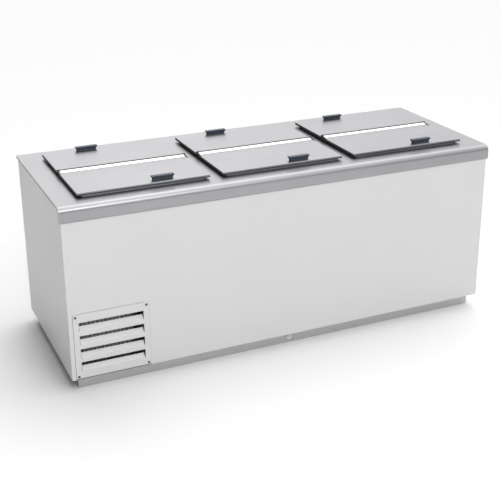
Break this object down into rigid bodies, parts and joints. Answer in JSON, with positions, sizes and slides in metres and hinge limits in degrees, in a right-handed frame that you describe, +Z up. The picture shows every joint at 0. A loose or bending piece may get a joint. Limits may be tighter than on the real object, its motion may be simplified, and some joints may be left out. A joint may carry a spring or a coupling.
{
  "type": "chest freezer",
  "caption": "Low chest freezer for ice-cream tubs: stainless top with pairs of flip lids, painted body, recessed plinth and a louvred grille.",
  "frame": {"origin": "on the floor at the middle of the cabinet's bounding box", "axes": "+X along the length, to the operator's right as they face the front; -Y is the front; +Z is up"},
  "size_m": [1.84, 0.702, 0.776],
  "materials": {
    "stainless": "satin",
    "bright_rail": "satin",
    "painted_white": "gloss",
    "galvanised": "matte",
    "tank_liner": "matte",
    "black_plastic": "satin",
    "lid_pan": "satin",
    "handle_plastic": "satin",
    "gasket": "matte",
    "foam": "matte",
    "copper": "satin",
    "pale_plastic": "satin",
    "zinc_screw": "satin",
    "blank_plate": "satin",
    "compressor_black": "gloss",
    "condenser_fins": "matte",
    "fan_aluminium": "satin"
  },
  "bodies": {
    "cabinet": {"plinth": "galvanised", "floor_pan": "galvanised", "front_panel": "painted_white", "left_panel": "painted_white", "right_panel": "painted_white", "back_panel": "painted_white", "counter_top": "stainless", "tank": "tank_liner", "mullions": "black_plastic", "insulation": "foam", "evaporator": "copper", "drain_tube": "pale_plastic", "grille": "painted_white", "grille_screws": "zinc_screw", "blank_plates": "blank_plate", "unit_tray": "galvanised", "compressor": "compressor_black", "condenser": "condenser_fins", "fan_motor": "compressor_black", "thermostat": "black_plastic", "cord_gland": "black_plastic", "left_collar": "black_plastic", "middle_collar": "black_plastic", "right_collar": "black_plastic"},
    "fan": {"fan_blade": "fan_aluminium"},
    "knob": {"thermostat_knob": "black_plastic"},
    "drain_plug": {"drain_cap": "pale_plastic"},
    "left_lid_set": {"left_hinge_rail": "bright_rail", "left_hinge_base": "black_plastic", "left_hinge_rod": "zinc_screw"},
    "middle_lid_set": {"middle_hinge_rail": "bright_rail", "middle_hinge_base": "black_plastic", "middle_hinge_rod": "zinc_screw"},
    "right_lid_set": {"right_hinge_rail": "bright_rail", "right_hinge_base": "black_plastic", "right_hinge_rod": "zinc_screw"},
    "left_front_leaf": {"left_front_lid_skin": "stainless", "left_front_lid_pan": "lid_pan", "left_front_lid_gasket": "gasket", "left_front_lid_handle": "handle_plastic"},
    "left_rear_leaf": {"left_rear_lid_skin": "stainless", "left_rear_lid_pan": "lid_pan", "left_rear_lid_gasket": "gasket", "left_rear_lid_handle": "handle_plastic"},
    "middle_front_leaf": {"middle_front_lid_skin": "stainless", "middle_front_lid_pan": "lid_pan", "middle_front_lid_gasket": "gasket", "middle_front_lid_handle": "handle_plastic"},
    "middle_rear_leaf": {"middle_rear_lid_skin": "stainless", "middle_rear_lid_pan": "lid_pan", "middle_rear_lid_gasket": "gasket", "middle_rear_lid_handle": "handle_plastic"},
    "right_front_leaf": {"right_front_lid_skin": "stainless", "right_front_lid_pan": "lid_pan", "right_front_lid_gasket": "gasket", "right_front_lid_handle": "handle_plastic"},
    "right_rear_leaf": {"right_rear_lid_skin": "stainless", "right_rear_lid_pan": "lid_pan", "right_rear_lid_gasket": "gasket", "right_rear_lid_handle": "handle_plastic"}
  },
  "joints": [
    {"name": "fan_spin", "type": "hinge", "parent": "cabinet", "child": "fan", "pos_m": [-0.771, -0.238, 0.1781], "axis": [0, 1, 0], "continuous": true},
    {"name": "thermostat_turn", "type": "hinge", "parent": "cabinet", "child": "knob", "pos_m": [-0.604, -0.303, 0.265], "axis": [0, -1, 0], "range_deg": [-270, 0]},
    {"name": "drain_cap_pull", "type": "slide", "parent": "cabinet", "child": "drain_plug", "axis": [0, -1, 0], "range_m": [0, 0.03]},
    {"name": "left_lid_set_lift", "type": "slide", "parent": "cabinet", "child": "left_lid_set", "axis": [0, 0, 1], "range_m": [0, 0.3]},
    {"name": "middle_lid_set_lift", "type": "slide", "parent": "cabinet", "child": "middle_lid_set", "axis": [0, 0, 1], "range_m": [0, 0.3]},
    {"name": "right_lid_set_lift", "type": "slide", "parent": "cabinet", "child": "right_lid_set", "axis": [0, 0, 1], "range_m": [0, 0.3]},
    {"name": "left_front_leaf_flip", "type": "hinge", "parent": "left_lid_set", "child": "left_front_leaf", "pos_m": [-0.572, 0.011, 0.763], "axis": [1, 0, 0], "range_deg": [-175, 0]},
    {"name": "left_rear_leaf_flip", "type": "hinge", "parent": "left_lid_set", "child": "left_rear_leaf", "pos_m": [-0.572, 0.011, 0.763], "axis": [1, 0, 0], "range_deg": [0, 175]},
    {"name": "middle_front_leaf_flip", "type": "hinge", "parent": "middle_lid_set", "child": "middle_front_leaf", "pos_m": [0, 0.011, 0.763], "axis": [1, 0, 0], "range_deg": [-175, 0]},
    {"name": "middle_rear_leaf_flip", "type": "hinge", "parent": "middle_lid_set", "child": "middle_rear_leaf", "pos_m": [0, 0.011, 0.763], "axis": [1, 0, 0], "range_deg": [0, 175]},
    {"name": "right_front_leaf_flip", "type": "hinge", "parent": "right_lid_set", "child": "right_front_leaf", "pos_m": [0.572, 0.011, 0.763], "axis": [1, 0, 0], "range_deg": [-175, 0]},
    {"name": "right_rear_leaf_flip", "type": "hinge", "parent": "right_lid_set", "child": "right_rear_leaf", "pos_m": [0.572, 0.011, 0.763], "axis": [1, 0, 0], "range_deg": [0, 175]}
  ]
}
